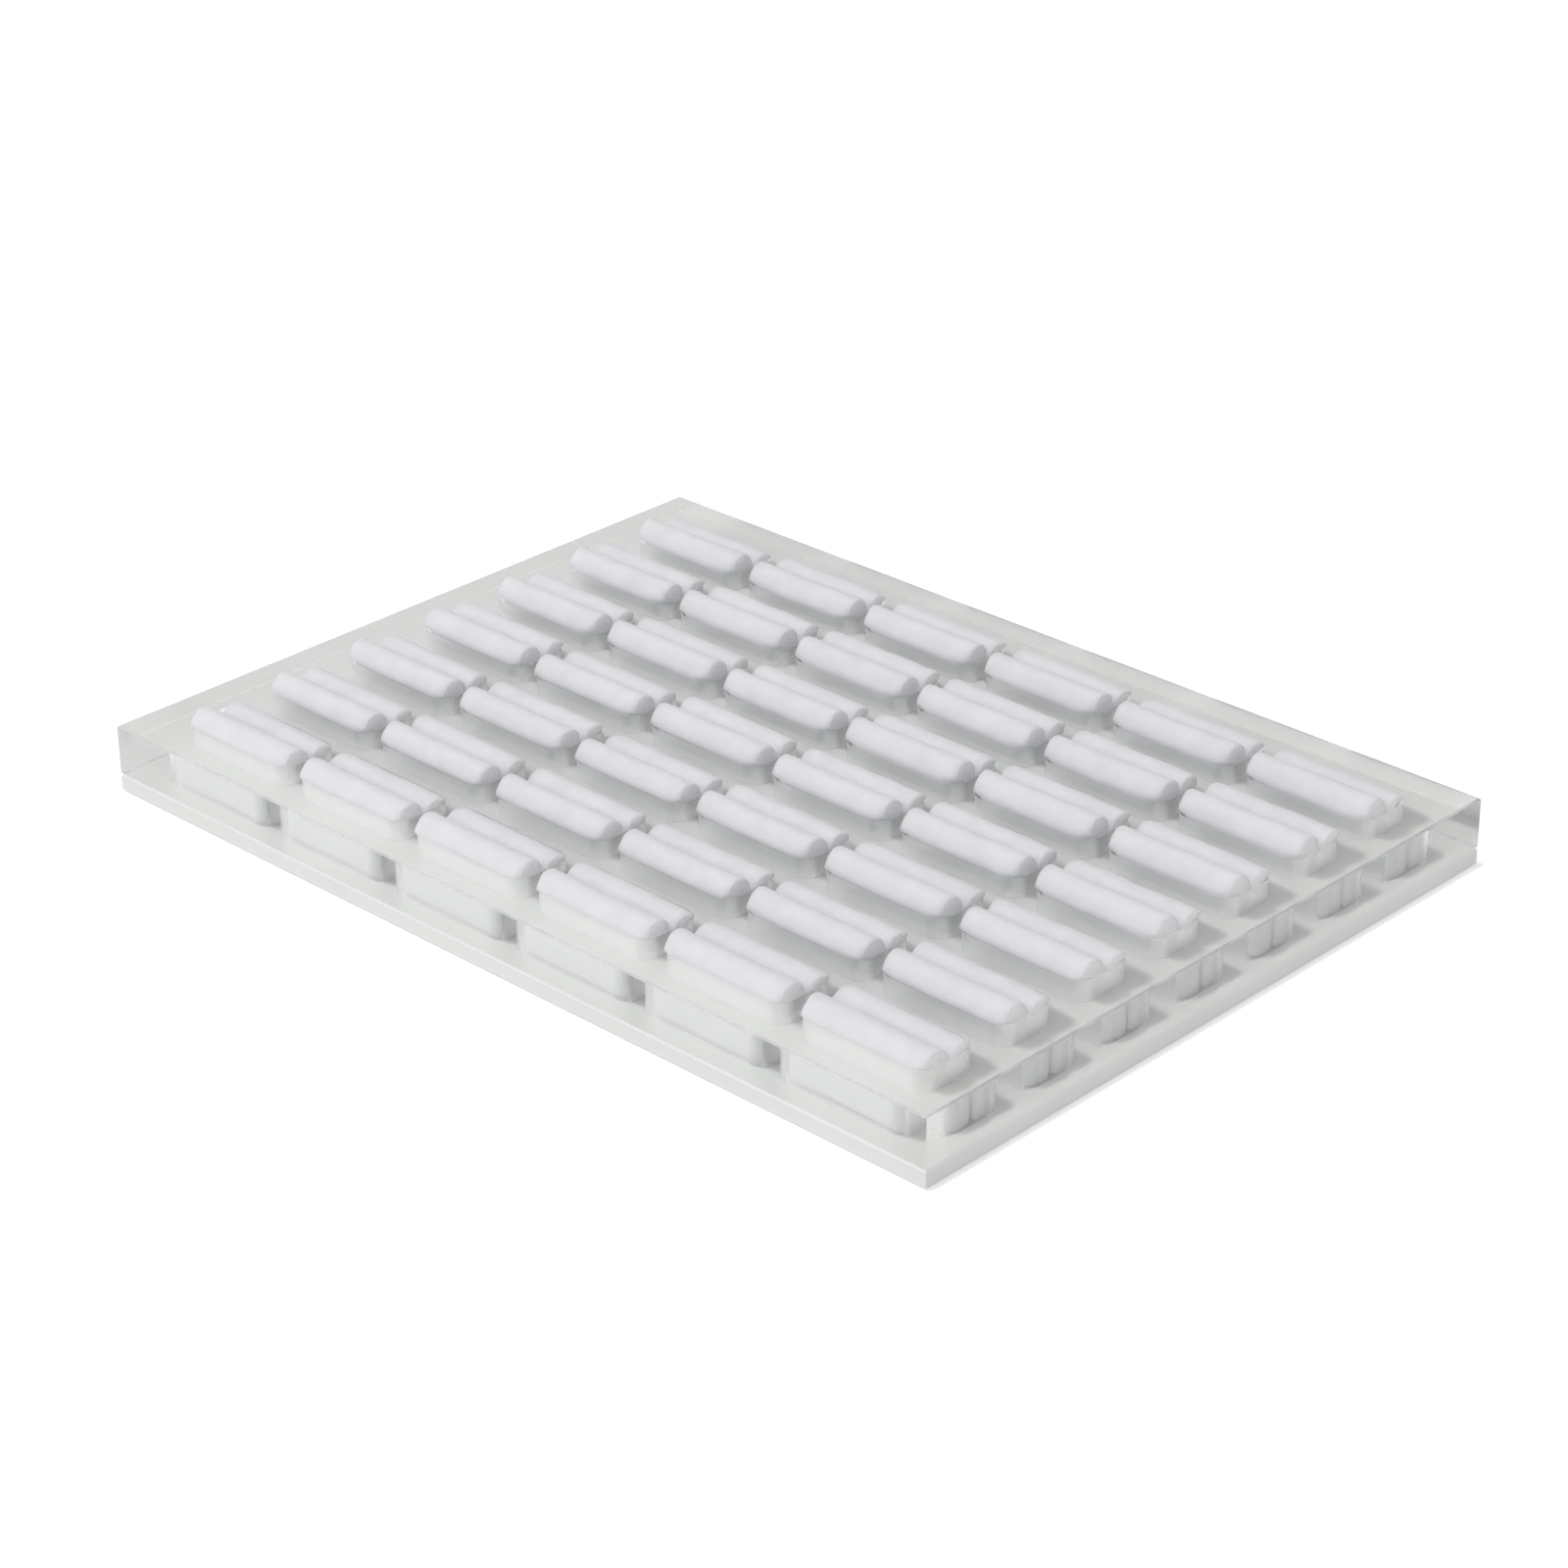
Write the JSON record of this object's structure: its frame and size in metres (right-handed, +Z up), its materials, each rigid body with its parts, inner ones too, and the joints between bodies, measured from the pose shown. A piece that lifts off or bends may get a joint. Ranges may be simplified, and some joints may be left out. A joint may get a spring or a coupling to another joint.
{
  "type": "ring display tray",
  "caption": "Flat clear plate on a white base, with a grid of round-cornered pockets, each holding a pair of soft white rolls that grip a ring.",
  "frame": {"origin": "middle of the underside, where the tray rests", "axes": "+X along the rows and the long side, +Y across the rows from the front row to the back row, +Z up"},
  "size_m": [0.24, 0.175, 0.0201],
  "materials": {
    "clear_acrylic": "clear, polished faces and edges",
    "opal_acrylic": "white, cemented under the clear plate",
    "white_velvet": "short white pile, matte"
  },
  "bodies": {
    "root": {"base_sheet": "opal_acrylic", "pocket_plate": "clear_acrylic", "ring_insert_r1_c1": "white_velvet", "ring_insert_r1_c2": "white_velvet", "ring_insert_r1_c3": "white_velvet", "ring_insert_r1_c4": "white_velvet", "ring_insert_r1_c5": "white_velvet", "ring_insert_r1_c6": "white_velvet", "ring_insert_r2_c1": "white_velvet", "ring_insert_r2_c2": "white_velvet", "ring_insert_r2_c3": "white_velvet", "ring_insert_r2_c4": "white_velvet", "ring_insert_r2_c5": "white_velvet", "ring_insert_r2_c6": "white_velvet", "ring_insert_r3_c1": "white_velvet", "ring_insert_r3_c2": "white_velvet", "ring_insert_r3_c3": "white_velvet", "ring_insert_r3_c4": "white_velvet", "ring_insert_r3_c5": "white_velvet", "ring_insert_r3_c6": "white_velvet", "ring_insert_r4_c1": "white_velvet", "ring_insert_r4_c2": "white_velvet", "ring_insert_r4_c3": "white_velvet", "ring_insert_r4_c4": "white_velvet", "ring_insert_r4_c5": "white_velvet", "ring_insert_r4_c6": "white_velvet", "ring_insert_r5_c1": "white_velvet", "ring_insert_r5_c2": "white_velvet", "ring_insert_r5_c3": "white_velvet", "ring_insert_r5_c4": "white_velvet", "ring_insert_r5_c5": "white_velvet", "ring_insert_r5_c6": "white_velvet", "ring_insert_r6_c1": "white_velvet", "ring_insert_r6_c2": "white_velvet", "ring_insert_r6_c3": "white_velvet", "ring_insert_r6_c4": "white_velvet", "ring_insert_r6_c5": "white_velvet", "ring_insert_r6_c6": "white_velvet", "ring_insert_r7_c1": "white_velvet", "ring_insert_r7_c2": "white_velvet", "ring_insert_r7_c3": "white_velvet", "ring_insert_r7_c4": "white_velvet", "ring_insert_r7_c5": "white_velvet", "ring_insert_r7_c6": "white_velvet"}
  },
  "joints": []
}
